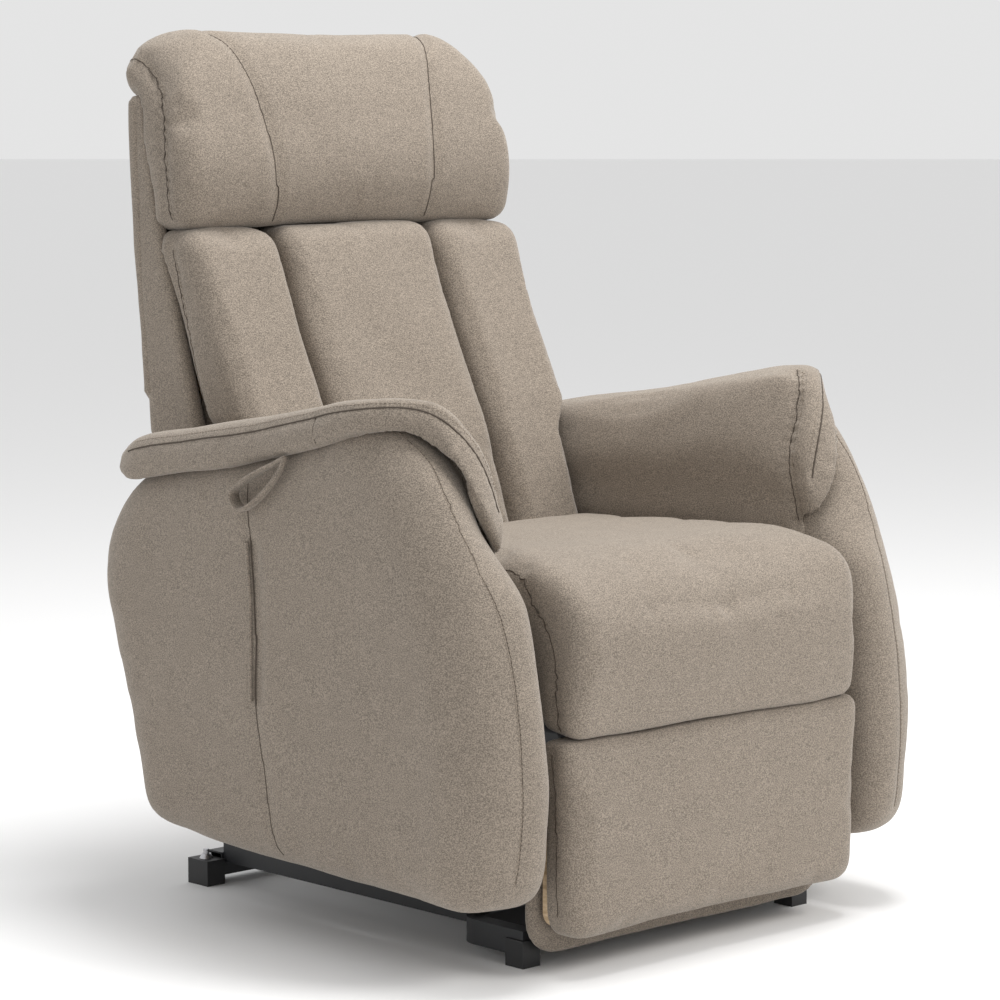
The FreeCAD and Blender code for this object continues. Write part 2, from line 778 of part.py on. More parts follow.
def build():
    base_front_tube()
    base_rail("base_rail_left", 1)
    base_rail("base_rail_right", -1)
    base_rear_bar()
    front_feet()
    rear_feet()
    rear_foot_bolts()
    lift_brackets("lift_front_brackets", LIFT_FRONT_BASE)
    lift_brackets("lift_rear_brackets", LIFT_REAR_BASE)
    pin_pair("lift_front_pins", LIFT_FRONT_BASE, "layer_base", "layer_lift_link")
    pin_pair("lift_rear_pins", LIFT_REAR_BASE, "layer_rear_link", "layer_base")
    clevis_plates("lift_motor_anchor", LIFT_DRIVE_BASE, 40, LIFT_DRIVE_X)

    lift_front_links()
    lift_torque_tube()
    lift_crank()
    link_pair("lift_rear_links", LIFT_REAR_BASE, LIFT_REAR_CHAIR, "layer_rear_link", [LIFT_REAR_BASE, LIFT_REAR_CHAIR])
    lift_slot_pins()

    seat_side_plates()
    pin_pair("lift_chair_pins", LIFT_FRONT_CHAIR, "layer_lift_link", "layer_chair")
    seat_crossbars()
    clevis_plates("recline_motor_anchor", RECLINE_DRIVE_SEAT, 262, RECLINE_DRIVE_X)
    seat_frame_sides()
    seat_frame_rail("seat_frame_front", -246)
    seat_frame_rail("seat_frame_rear", 68)
    seat_springs()
    seat_cushion()
    for name, side in (("left", 1), ("right", -1)):
        arm_body("arm_body_" + name, side)
        arm_frame("arm_frame_" + name, side)
        arm_pad("arm_pad_" + name, side)
    arm_brackets()
    pull_loop()
    control_box()

    back_cushion()
    back_shell()
    headrest_cushion()
    back_uprights()
    back_cross_rails()
    back_hinge_plates()
    back_hinge_pins()
    recline_arm()

    link_pair("footrest_lower_links", FOOT_CHAIR, FOOT_ELBOW, "layer_lower_link", [FOOT_CHAIR, FOOT_ELBOW], 22)
    link_pair("footrest_upper_links", FOOT_ELBOW, FOOT_PANEL, "layer_upper_link", [FOOT_ELBOW, FOOT_PANEL], 22)
    pin_pair("footrest_chair_pins", FOOT_CHAIR, "layer_chair", "layer_lower_link")
    pin_pair("footrest_elbow_pins", FOOT_ELBOW, "layer_lower_link", "layer_upper_link")
    pin_pair("footrest_panel_pins", FOOT_PANEL, "layer_upper_link", "layer_footrest")
    footrest_cross_tube()
    kick_board()
    kick_board_brackets()
    footrest_board()
    footrest_pad()
    footrest_brackets()

    drive("lift", LIFT_DRIVE_BASE, LIFT_DRIVE_CRANK, LIFT_DRIVE_X, 280, 66, 9.0)
    drive("recline", RECLINE_DRIVE_SEAT, RECLINE_DRIVE_BACK, RECLINE_DRIVE_X, 180, 124, 3.4)


NODES = [
    "base_front_tube", "base_rail_left", "base_rail_right", "base_rear_bar", "front_feet", "rear_feet",
    "rear_foot_bolts", "lift_front_brackets", "lift_rear_brackets", "lift_front_pins", "lift_rear_pins",
    "lift_motor_anchor", "lift_front_links", "lift_torque_tube", "lift_crank", "lift_rear_links",
    "seat_side_plates", "lift_chair_pins", "lift_slot_pins", "seat_crossbars", "recline_motor_anchor",
    "seat_frame_sides", "seat_frame_front", "seat_frame_rear", "seat_springs", "seat_cushion", "arm_body_left",
    "arm_body_right", "arm_frame_left", "arm_frame_right", "arm_pad_left", "arm_pad_right", "arm_brackets",
    "pull_loop", "control_box", "back_cushion", "back_shell", "headrest_cushion", "back_uprights",
    "back_cross_rails", "back_hinge_plates", "back_hinge_pins", "recline_arm", "footrest_lower_links",
    "footrest_upper_links", "footrest_chair_pins", "footrest_elbow_pins", "footrest_panel_pins",
    "footrest_cross_tube", "kick_board", "kick_board_brackets", "footrest_board", "footrest_pad",
    "footrest_brackets", "lift_motor", "lift_rod", "recline_motor", "recline_rod",
]


def check_document():
    for thing in doc.Objects:
        if "Invalid" in thing.State or "Error" in thing.State:
            raise RuntimeError("%s did not build: %s" % (thing.Label, thing.State))
    for name in NODES:
        shape = doc.getObject(name).Shape
        if shape.isNull() or not shape.isValid() or not shape.Solids:
            raise RuntimeError("%s has no valid solid" % name)


def export_nodes():
    for name in NODES:
        doc.getObject(name).Shape.exportStep("parts/%s.step" % name)


build()
doc.recompute()
check_document()
export_nodes()
whole = FreeCAD.BoundBox()
for name in NODES:
    whole.add(doc.getObject(name).Shape.BoundBox)
print("nodes", len(NODES), "box", whole)
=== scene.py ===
import json
import math

import bmesh
import bpy
import numpy as np
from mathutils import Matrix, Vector, noise
from mathutils.bvhtree import BVHTree
from mathutils.kdtree import KDTree


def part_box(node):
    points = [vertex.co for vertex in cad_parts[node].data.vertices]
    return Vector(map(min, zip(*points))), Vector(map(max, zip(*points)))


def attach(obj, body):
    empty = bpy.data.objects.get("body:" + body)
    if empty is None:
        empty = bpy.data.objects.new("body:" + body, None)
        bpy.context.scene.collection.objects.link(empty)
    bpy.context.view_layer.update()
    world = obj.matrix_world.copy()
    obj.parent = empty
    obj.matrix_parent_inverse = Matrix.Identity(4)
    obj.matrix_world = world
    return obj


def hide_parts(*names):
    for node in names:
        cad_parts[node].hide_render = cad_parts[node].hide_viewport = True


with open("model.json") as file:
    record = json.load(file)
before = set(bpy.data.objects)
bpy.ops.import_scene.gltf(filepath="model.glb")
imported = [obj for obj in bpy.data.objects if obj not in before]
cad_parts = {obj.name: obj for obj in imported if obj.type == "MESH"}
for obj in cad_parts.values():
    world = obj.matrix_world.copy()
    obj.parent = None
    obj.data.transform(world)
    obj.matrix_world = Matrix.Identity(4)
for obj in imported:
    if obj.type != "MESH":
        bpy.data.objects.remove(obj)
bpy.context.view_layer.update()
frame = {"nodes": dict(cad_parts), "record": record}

# Looks of the lift recliner: upholstery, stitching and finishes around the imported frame.
# Outlines below are in millimetres in the frame's own axes, and become metres when a mesh is made.
# The sitter faces -y. The sitter's right is -x, and side is -1 there and 1 on the sitter's left.

MM = 0.001

CURVE_STEPS = 24  # points worked out between two given points of a smooth curve
CORNER_STEPS = 9  # points round one rounded corner
END_STEPS = 8  # rings over the rounded end of an extrusion
BODY_STEPS = 24  # rings along its straight part
CLOTH_FRAMES = 20
CLOTH_PRESSURE = 4.0
STITCH_PITCH = 5.5
STITCH_LENGTH = 3.6
STITCH_RADIUS = 0.42
STITCH_SIDES = 6
BEVEL_DEFAULT = 4  # Blender's own number of steps round a quarter of a cord

# ---------------------------------------------------------------- outlines and meshes


def side_name(side):
    return "left" if side > 0 else "right"


def ease(share):
    """Turns a straight rise from 0 to 1 into one that starts and ends gently."""
    return share * share * (3 - 2 * share)


def catmull_rom(p0, p1, p2, p3):
    """Points on the curve from p1 up to, but not including, p2."""
    return [
        0.5 * (2 * p1 + (p2 - p0) * t + (2 * p0 - 5 * p1 + 4 * p2 - p3) * t * t
               + (3 * p1 - p0 - 3 * p2 + p3) * t ** 3)
        for t in np.linspace(0, 1, CURVE_STEPS, endpoint=False)
    ]


def smooth_loop(points, count):
    """A closed Catmull-Rom curve through the points, sampled evenly along its length."""
    knots = np.array(points, float)
    size = len(knots)
    dense = []
    for index in range(size):
        dense += catmull_rom(*(knots[(index + k - 1) % size] for k in range(4)))
    return even_samples(np.array(dense), count, closed=True)


def smooth_path(points, count):
    """An open Catmull-Rom curve through the points, sampled evenly along its length."""
    knots = np.array(points, float)
    knots = np.vstack([2 * knots[0] - knots[1], knots, 2 * knots[-1] - knots[-2]])
    dense = []
    for index in range(1, len(knots) - 2):
        dense += catmull_rom(*knots[index - 1:index + 3])
    dense.append(knots[-2])
    return even_samples(np.array(dense), count, closed=False)


def even_samples(dense, count, closed):
    """The line resampled to evenly spaced points."""
    line = np.vstack([dense, dense[:1]]) if closed else dense
    steps = np.linalg.norm(np.diff(line, axis=0), axis=1)
    along = np.concatenate([[0], np.cumsum(steps)])
    wanted = np.linspace(0, along[-1], count, endpoint=not closed)
    return np.stack([np.interp(wanted, along, line[:, k]) for k in range(line.shape[1])], axis=1)


def rounded_loop(corners, count=160):
    """A closed outline with a round corner at each (u, v, radius)."""
    points = []
    size = len(corners)
    for index, (u, v, radius) in enumerate(corners):
        here = np.array([u, v], float)
        before = np.array(corners[index - 1][:2], float) - here
        after = np.array(corners[(index + 1) % size][:2], float) - here
        reach = min(radius, 0.48 * np.linalg.norm(before), 0.48 * np.linalg.norm(after))
        start = here + before / np.linalg.norm(before) * reach
        end = here + after / np.linalg.norm(after) * reach
        for t in np.linspace(0, 1, CORNER_STEPS):
            points.append((1 - t) ** 2 * start + 2 * t * (1 - t) * here + t * t * end)
    return even_samples(np.array(points), count, closed=True)


def inset_loop(loop, distance):
    """The loop moved inwards by a distance along its own normals."""
    tangent = np.roll(loop, -1, axis=0) - np.roll(loop, 1, axis=0)
    tangent /= np.linalg.norm(tangent, axis=1)[:, None] + 1e-9
    normal = np.stack([tangent[:, 1], -tangent[:, 0]], axis=1)
    area = 0.5 * np.sum(loop[:, 0] * np.roll(loop[:, 1], -1) - np.roll(loop[:, 0], -1) * loop[:, 1])
    return loop - normal * distance * (1 if area > 0 else -1)


def new_object(name, vertices, faces):
    """A mesh object with its faces turned outwards; vertices are in metres."""
    mesh = bpy.data.meshes.new(name)
    mesh.from_pydata([tuple(v) for v in vertices], [], faces)
    mesh.validate()
    bm = bmesh.new()
    bm.from_mesh(mesh)
    bmesh.ops.recalc_face_normals(bm, faces=bm.faces)
    bm.to_mesh(mesh)
    bm.free()
    obj = bpy.data.objects.new(name, mesh)
    bpy.context.collection.objects.link(obj)
    return obj


def loft(name, rings):
    """A closed skin over rings of equal point count, with a face at each end; rings are in mm."""
    rings = [np.asarray(ring, float) * MM for ring in rings]
    count = len(rings[0])
    vertices = [point for ring in rings for point in ring]
    faces = []
    for number in range(len(rings) - 1):
        near = number * count
        for k in range(count):
            n = (k + 1) % count
            faces.append((near + k, near + n, near + count + n, near + count + k))
    last = (len(rings) - 1) * count
    faces.append(tuple(range(count)))
    faces.append(tuple(range(last, last + count)))
    return new_object(name, vertices, faces)


def stations(low, high, round_low, round_high):
    """Places along an extrusion and the inset there, so both ends are rounded over."""
    result = []
    for t in np.linspace(0, math.pi / 2, END_STEPS):
        result.append((low + round_low * (1 - math.cos(t)), round_low * (1 - math.sin(t))))
    for place in np.linspace(low + round_low, high - round_high, BODY_STEPS)[1:-1]:
        result.append((place, 0.0))
    for t in np.linspace(math.pi / 2, 0, END_STEPS):
        result.append((high - round_high * (1 - math.cos(t)), round_high * (1 - math.sin(t))))
    return result


def block(name, loop, axis, low, high, round_low, round_high, shape=None):
    """A soft extrusion of a loop along x or y; shape may bend the loop at each station."""
    rings = []
    for place, inset in stations(low, high, round_low, round_high):
        ring = inset_loop(shape(loop, place) if shape else loop, inset)
        across = np.full(len(ring), place)
        u, v = ring[:, 0], ring[:, 1]
        columns = (across, u, v) if axis == "x" else (u, across, v)
        rings.append(np.stack(columns, axis=1))
    return loft(name, rings)


# ---------------------------------------------------------------- cloth and surface detail


def bake_modifiers(obj):
    """Replaces the object's mesh by what its modifiers make of it."""
    graph = bpy.context.evaluated_depsgraph_get()
    graph.update()
    mesh = bpy.data.meshes.new_from_object(obj.evaluated_get(graph))
    obj.modifiers.clear()
    old = obj.data
    obj.data = mesh
    bpy.data.meshes.remove(old)


def coordinates(mesh):
    flat = np.empty(len(mesh.vertices) * 3)
    mesh.vertices.foreach_get("co", flat)
    return flat.reshape(-1, 3)


def write_coordinates(mesh, points):
    mesh.vertices.foreach_set("co", np.ascontiguousarray(points, dtype=np.float64).ravel())
    mesh.update()


def normals(mesh):
    flat = np.empty(len(mesh.vertices) * 3)
    mesh.vertex_normals.foreach_get("vector", flat)
    return flat.reshape(-1, 3)


def smooth_shading(obj):
    for polygon in obj.data.polygons:
        polygon.use_smooth = True


def remesh(obj, voxel, smoothing):
    """Even small faces, voxel in mm, so that cloth and surface detail have points to move."""
    modifier = obj.modifiers.new("even_grid", "REMESH")
    modifier.mode = "VOXEL"
    modifier.voxel_size = voxel * MM
    soften = obj.modifiers.new("ease", "SMOOTH")
    soften.factor = 0.5
    soften.iterations = smoothing
    bake_modifiers(obj)
    smooth_shading(obj)


def puff(obj, cap, held=None):
    """Cloth simulation that swells the piece, each point's travel capped in mm, fitted back to its size.

    held is a pair of heights in mm: the cover keeps its shape beyond the first, and is free beyond
    the second.
    """
    scene = bpy.context.scene
    rest = coordinates(obj.data)
    cloth = obj.modifiers.new("cloth", "CLOTH")
    settings = cloth.settings
    settings.quality = 4
    settings.mass = 0.3
    settings.tension_stiffness = 12
    settings.compression_stiffness = 12
    settings.shear_stiffness = 6
    settings.bending_stiffness = 2.0
    settings.use_pressure = True
    settings.uniform_pressure_force = CLOTH_PRESSURE
    settings.effector_weights.gravity = 0
    cloth.collision_settings.use_collision = False
    cloth.collision_settings.use_self_collision = False
    cloth.point_cache.frame_start = 1
    cloth.point_cache.frame_end = CLOTH_FRAMES
    for number in range(1, CLOTH_FRAMES + 1):
        scene.frame_set(number)
    bake_modifiers(obj)
    scene.frame_set(1)
    moved = coordinates(obj.data) - rest
    travel = np.linalg.norm(moved, axis=1)
    limit = np.minimum(1, cap * MM / np.maximum(travel, 1e-9))
    if held:
        limit *= ease(np.clip((rest[:, 2] / MM - held[0]) / (held[1] - held[0]), 0, 1))
    swollen = rest + moved * limit[:, None]
    low, high = swollen.min(axis=0), swollen.max(axis=0)
    fitted = rest.min(axis=0) + (swollen - low) / (high - low) * (rest.max(axis=0) - rest.min(axis=0))
    write_coordinates(obj.data, fitted)


def rumple(obj, size, height, seed):
    """Slow swells and hollows over the cover, size and height in mm."""
    mesh = obj.data
    points = coordinates(mesh)
    outward = normals(mesh)
    scale = 1 / (size * MM)
    lift = np.array([noise.noise(Vector(p * scale) + Vector((seed, seed, seed))) for p in points])
    write_coordinates(mesh, points + outward * (lift * height * MM)[:, None])


def press_line(obj, line, width, depth, pucker=0.0, pucker_pitch=14.0):
    """A sewn hollow along a line of points in mm, optionally gathered into small puckers."""
    line = np.asarray(line, float) * MM
    along = np.concatenate([[0], np.cumsum(np.linalg.norm(np.diff(line, axis=0), axis=1))])
    tree = KDTree(len(line))
    for index, point in enumerate(line):
        tree.insert(Vector(point), index)
    tree.balance()
    mesh = obj.data
    points = coordinates(mesh)
    outward = normals(mesh)
    low = line.min(axis=0) - width * MM
    high = line.max(axis=0) + width * MM
    near = np.where(np.all((points > low) & (points < high), axis=1))[0]
    for index in near:
        _, nearest, distance = tree.find(Vector(points[index]))
        share = distance / (width * MM)
        if share >= 1:
            continue
        fall = (1 - share * share) ** 2
        uneven = 1.3 * math.sin(along[nearest] * 90)
        wave = 0.5 + 0.5 * math.sin(2 * math.pi * along[nearest] / (pucker_pitch * MM) + uneven)
        push = depth * fall + pucker * wave * share * (1 - share) * 4
        points[index] -= outward[index] * push * MM
    write_coordinates(mesh, points)


def surface_tree(obj):
    mesh = obj.data
    return BVHTree.FromPolygons([v.co for v in mesh.vertices], [p.vertices[:] for p in mesh.polygons])


def onto(tree, line, lift=0.0):
    """The line's points, in mm, moved to the nearest place on a surface, with the normals there."""
    spots = []
    for point in np.asarray(line, float) * MM:
        spot, normal, _, _ = tree.find_nearest(Vector(point))
        spots.append((spot + normal * lift * MM, normal))
    return spots


def cord(name, cover_piece, spots, radius, material, bevel_steps):
    """A round cord of the given radius in mm along spots on a cover."""
    curve = bpy.data.curves.new(name, "CURVE")
    curve.dimensions = "3D"
    curve.bevel_depth = radius * MM
    curve.bevel_resolution = bevel_steps
    spline = curve.splines.new("POLY")
    spline.points.add(len(spots) - 1)
    for point, (spot, _) in zip(spline.points, spots):
        point.co = (*spot, 1)
    result = bpy.data.objects.new(name, curve)
    bpy.context.collection.objects.link(result)
    result.data.materials.append(material)
    finish_piece(result, cover_piece)


def seam(name, obj, line, radius=0.9, sink=0.25):
    """A near-black cord lying in the cover along a sewn line: painted shadow of the seam's crease."""
    cord(name, obj, onto(surface_tree(obj), line, -sink), radius, PAINTED_SEAM_SHADOW, 2)


def stitches(name, obj, line):
    """A row of single thread stitches that lie on the cover."""
    line = np.asarray(line, float)
    total = np.linalg.norm(np.diff(line, axis=0), axis=1).sum()
    path = even_samples(line, max(4, int(total / STITCH_PITCH) * 2), closed=False)
    spots = onto(surface_tree(obj), path, 0.25)
    vertices = []
    faces = []
    for index in range(0, len(spots) - 1, 2):
        start, normal = spots[index]
        direction = (spots[index + 1][0] - start).normalized()
        side = direction.cross(normal).normalized()
        base = len(vertices)
        for share, swell in ((0, 0.35), (0.2, 1), (0.8, 1), (1, 0.35)):
            centre = start + direction * STITCH_LENGTH * MM * share
            for k in range(STITCH_SIDES):
                angle = k * math.pi / 3
                offset = side * math.cos(angle) + normal * math.sin(angle)
                vertices.append(centre + offset * STITCH_RADIUS * MM * swell)
        for ring in range(3):
            near = base + ring * STITCH_SIDES
            far = near + STITCH_SIDES
            for k in range(STITCH_SIDES):
                n = (k + 1) % STITCH_SIDES
                faces.append((near + k, near + n, far + n, far + k))
        faces.append(tuple(base + k for k in reversed(range(STITCH_SIDES))))
        faces.append(tuple(far + k for k in range(STITCH_SIDES)))
    result = new_object(name, vertices, faces)
    result.data.materials.append(THREAD)
    finish_piece(result, obj)


def finish_piece(piece, cover_piece):
    """A trim piece rides on its cover's body."""
    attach(piece, BODY_OF[cover_piece.name])


# ---------------------------------------------------------------- materials


def principled(name):
    """A new material with its nodes, its links and its shader."""
    material = bpy.data.materials.new(name)
    material.use_nodes = True
    tree = material.node_tree
    return material, tree.nodes, tree.links, tree.nodes["Principled BSDF"]


def shades(colour, *factors):
    """Darker and lighter versions of a colour."""
    return [tuple(c * factor for c in colour) for factor in factors]


def add_noise(nodes, links, source, scale, detail=3.0, roughness=0.55):
    node = nodes.new("ShaderNodeTexNoise")
    node.inputs["Scale"].default_value = scale
    node.inputs["Detail"].default_value = detail
    node.inputs["Roughness"].default_value = roughness
    links.new(source, node.inputs["Vector"])
    return node.outputs["Fac"]


def stretched(nodes, links, source, scale):
    node = nodes.new("ShaderNodeMapping")
    node.inputs["Scale"].default_value = scale
    links.new(source, node.inputs["Vector"])
    return node.outputs["Vector"]


def ramp(nodes, links, source, stops):
    node = nodes.new("ShaderNodeValToRGB")
    while len(node.color_ramp.elements) < len(stops):
        node.color_ramp.elements.new(0.5)
    for element, (place, colour) in zip(node.color_ramp.elements, stops):
        element.position = place
        element.color = (*colour, 1)
    links.new(source, node.inputs["Fac"])
    return node.outputs["Color"]


def mix_colour(nodes, links, first, second, factor):
    node = nodes.new("ShaderNodeMix")
    node.data_type = "RGBA"
    node.inputs["Factor"].default_value = factor
    links.new(first, node.inputs["A"])
    links.new(second, node.inputs["B"])
    return node.outputs["Result"]


def varied_roughness(nodes, links, shader, source, spread, lowest):
    """Roughness that follows a pattern, from lowest upwards by spread."""
    node = nodes.new("ShaderNodeMath")
    node.operation = "MULTIPLY_ADD"
    links.new(source, node.inputs[0])
    node.inputs[1].default_value = spread
    node.inputs[2].default_value = lowest
    links.new(node.outputs[0], shader.inputs["Roughness"])


def bump(nodes, links, height, strength, distance, before=None):
    node = nodes.new("ShaderNodeBump")
    node.inputs["Strength"].default_value = strength
    node.inputs["Distance"].default_value = distance
    links.new(height, node.inputs["Height"])
    if before is not None:
        links.new(before, node.inputs["Normal"])
    return node.outputs["Normal"]


def chenille(name, middle):
    """Brushed taupe chenille: mottled nap, fine cross rib and speckled yarn."""
    material, nodes, links, shader = principled(name)
    place = nodes.new("ShaderNodeTexCoord").outputs["Object"]
    patches = add_noise(nodes, links, place, 9, 4, 0.6)
    nap = add_noise(nodes, links, stretched(nodes, links, place, (1, 1, 2.2)), 75, 5, 0.65)
    rib = add_noise(nodes, links, stretched(nodes, links, place, (1, 1, 2.6)), 360, 3, 0.6)
    yarn = add_noise(nodes, links, place, 720, 3, 0.6)
    dark, light = shades(middle, 0.42, 1.72)
    worn, fresh = shades(middle, 0.90, 1.10)
    base = ramp(nodes, links, nap, ((0.24, dark), (0.5, middle), (0.78, light)))
    broad = ramp(nodes, links, patches, ((0.3, worn), (0.7, fresh)))
    colour = mix_colour(nodes, links, base, broad, 0.55)
    ribbed = ramp(nodes, links, rib, ((0.42, dark), (0.5, middle), (0.58, light)))
    colour = mix_colour(nodes, links, colour, ribbed, 0.34)
    speckle = ramp(nodes, links, yarn, ((0.43, dark), (0.5, middle), (0.57, light)))
    colour = mix_colour(nodes, links, colour, speckle, 0.46)
    links.new(colour, shader.inputs["Base Color"])
    varied_roughness(nodes, links, shader, nap, 0.16, 0.80)
    shader.inputs["Sheen Weight"].default_value = 0.35
    shader.inputs["Sheen Roughness"].default_value = 0.45
    shader.inputs["Sheen Tint"].default_value = (0.95, 0.90, 0.84, 1)
    shader.inputs["Specular IOR Level"].default_value = 0.18
    first = bump(nodes, links, nap, 0.22, 0.0016)
    second = bump(nodes, links, rib, 0.6, 0.0009, first)
    third = bump(nodes, links, yarn, 0.7, 0.0006, second)
    links.new(third, shader.inputs["Normal"])
    return material


def thread(name, colour):
    material, nodes, links, shader = principled(name)
    place = nodes.new("ShaderNodeTexCoord").outputs["Object"]
    twist = add_noise(nodes, links, place, 1400, 2)
    dark, light = shades(colour, 0.75, 1.2)
    shade = ramp(nodes, links, twist, ((0.3, dark), (0.7, light)))
    links.new(shade, shader.inputs["Base Color"])
    shader.inputs["Roughness"].default_value = 0.9
    links.new(bump(nodes, links, twist, 0.4, 0.0002), shader.inputs["Normal"])
    return material


def coated(name, colour, roughness, metallic=0.0, grain=600):
    """Painted, plated or moulded surfaces with a fine grain and slight wear in the gloss."""
    material, nodes, links, shader = principled(name)
    place = nodes.new("ShaderNodeTexCoord").outputs["Object"]
    fine = add_noise(nodes, links, place, grain, 3)
    broad = add_noise(nodes, links, place, 14, 4)
    dark, light = shades(colour, 0.8, 1.25)
    shade = ramp(nodes, links, broad, ((0.3, dark), (0.7, light)))
    links.new(shade, shader.inputs["Base Color"])
    varied_roughness(nodes, links, shader, broad, 0.22, roughness - 0.11)
    shader.inputs["Metallic"].default_value = metallic
    links.new(bump(nodes, links, fine, 0.35, 0.0002), shader.inputs["Normal"])
    return material


def timber(name):
    material, nodes, links, shader = principled(name)
    place = nodes.new("ShaderNodeTexCoord").outputs["Object"]
    grain = add_noise(nodes, links, stretched(nodes, links, place, (4, 26, 60)), 3, 6)
    shade = ramp(nodes, links, grain, (
        (0.3, (0.36, 0.24, 0.13)),
        (0.55, (0.58, 0.43, 0.27)),
        (0.75, (0.68, 0.54, 0.36)),
    ))
    links.new(shade, shader.inputs["Base Color"])
    shader.inputs["Roughness"].default_value = 0.7
    links.new(bump(nodes, links, grain, 0.3, 0.0004), shader.inputs["Normal"])
    return material


FABRIC = chenille("taupe_chenille", (0.240, 0.202, 0.164))
# Near-black colour of the cords laid along seams: painted shadow of the seam creases.
PAINTED_SEAM_SHADOW = thread("seam_shadow", (0.075, 0.058, 0.044))
THREAD = thread("topstitch_thread", (0.25, 0.205, 0.16))
FINISHES = {
    "black_steel": coated("black_powder_coat", (0.018, 0.019, 0.021), 0.42),
    "black_plastic": coated("black_moulding", (0.016, 0.016, 0.017), 0.5, grain=900),
    "motor_case": coated("motor_moulding", (0.028, 0.028, 0.03), 0.45, grain=900),
    "plated_steel": coated("zinc_plate", (0.50, 0.50, 0.52), 0.34, metallic=1.0),
    "frame_wood": timber("raw_timber"),
    "upholstery": FABRIC,
}


def dress_cad_nodes():
    """Every CAD piece keeps its mesh and takes the finish of its own slot."""
    slots = {entry["node"]: entry["material_slot"] for entry in frame["record"]["subparts"]}
    for node, obj in frame["nodes"].items():
        obj.data.materials.clear()
        obj.data.materials.append(FINISHES[slots[node]])


# ---------------------------------------------------------------- upholstery

BODY_OF = {}


def cover(obj, body, nodes):
    """Registers a padded piece: its material, its body and the CAD solids, if any, that it stands for."""
    obj.data.materials.clear()
    obj.data.materials.append(FABRIC)
    smooth_shading(obj)
    if nodes:
        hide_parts(*nodes)
    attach(obj, body)
    BODY_OF[obj.name] = body


SEAT_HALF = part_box("seat_cushion")[1][0] / MM
BACK_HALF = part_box("back_cushion")[1][0] / MM
HEAD_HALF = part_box("headrest_cushion")[1][0] / MM
ARM_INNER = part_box("arm_body_left")[0][0] / MM
ARM_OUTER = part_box("arm_body_left")[1][0] / MM
PANEL_SEAM = 131.0  # half the width of the back's middle channel


def seat_cushion():
    """Seat and front apron in one cover, whose lower lip keeps its shape above the footrest."""
    loop = rounded_loop([
        (100, 466, 36), (-120, 480, 300), (-316, 486, 120), (-409, 458, 80), (-415, 360, 120),
        (-406, 274, 22),
        (-340, 283, 10), (-330, 350, 10), (100, 352, 16),
    ])
    obj = block("seat_cushion_cover", loop, "x", 6 - SEAT_HALF, SEAT_HALF - 6, 24, 24)
    remesh(obj, 6.5, 4)
    puff(obj, 8, held=(300, 380))
    rumple(obj, 120, 3.4, 3.0)
    rumple(obj, 45, 1.0, 8.0)
    cover(obj, "chair", ["seat_cushion"])
    for side in (-1, 1):
        edge_seam(obj, "seat_side_seam_" + side_name(side), side, [
            (-254, -240, 484), (-256, -301, 470), (-257, -330, 430), (-257, -352, 397),
            (-257, -364, 359),
            (-257, -368, 317), (-256, -370, 284),
        ], 16, 2.4, 3.2, 16)


def back_channels():
    """Three upright channels side by side, drawn as the back cushion seen from the side."""
    loop = rounded_loop([
        (70, 402, 30), (118, 560, 400), (182, 688, 400), (254, 851, 26), (330, 851, 14), (262, 668, 60),
        (158, 402, 16),
    ])
    edges = (-BACK_HALF, -PANEL_SEAM, PANEL_SEAM, BACK_HALF)
    for low, high, name in zip(edges, edges[1:], ("right", "middle", "left")):
        obj = block("back_channel_" + name, loop, "x", low + 1, high - 1, 26, 26)
        remesh(obj, 6.5, 4)
        puff(obj, 4)
        narrow_below_arms(obj)
        rumple(obj, 110, 3.0, 5.0 + low * 0.01)
        rumple(obj, 40, 0.8, 2.0)
        cover(obj, "back", ["back_cushion"] if name == "middle" else [])
        if name != "middle":
            edge_seam(obj, "back_edge_seam_" + name, 1 if low > 0 else -1, [
                (-285, 288, 822), (-285, 270, 744), (-284, 253, 667), (-278, 238, 609),
            ])


def edge_seam(obj, name, side, points, width=13, depth=1.8, pucker=1.6, pitch=15):
    """Puckered seam and stitches beside a cushion's edge; points are for the sitter's right."""
    line = smooth_path(points, 90) * np.array([-side, 1, 1])
    press_line(obj, line, width, depth, pucker, pitch)
    seam(name, obj, line, 0.8)
    stitches(name + "_thread", obj, line - np.array([0, 4, 0]))


def narrow_below_arms(obj):
    """Draws the outer channels in where they stand between the arms; the channel seams stay put."""
    points = coordinates(obj.data)
    share = ease(np.clip((points[:, 2] / MM - 566) / 52, 0, 1))
    beyond_seam = np.clip((np.abs(points[:, 0]) / MM - PANEL_SEAM) / (BACK_HALF - PANEL_SEAM), 0, None)
    points[:, 0] -= np.sign(points[:, 0]) * beyond_seam * (1 - share) * (BACK_HALF - SEAT_HALF) * MM
    write_coordinates(obj.data, points)


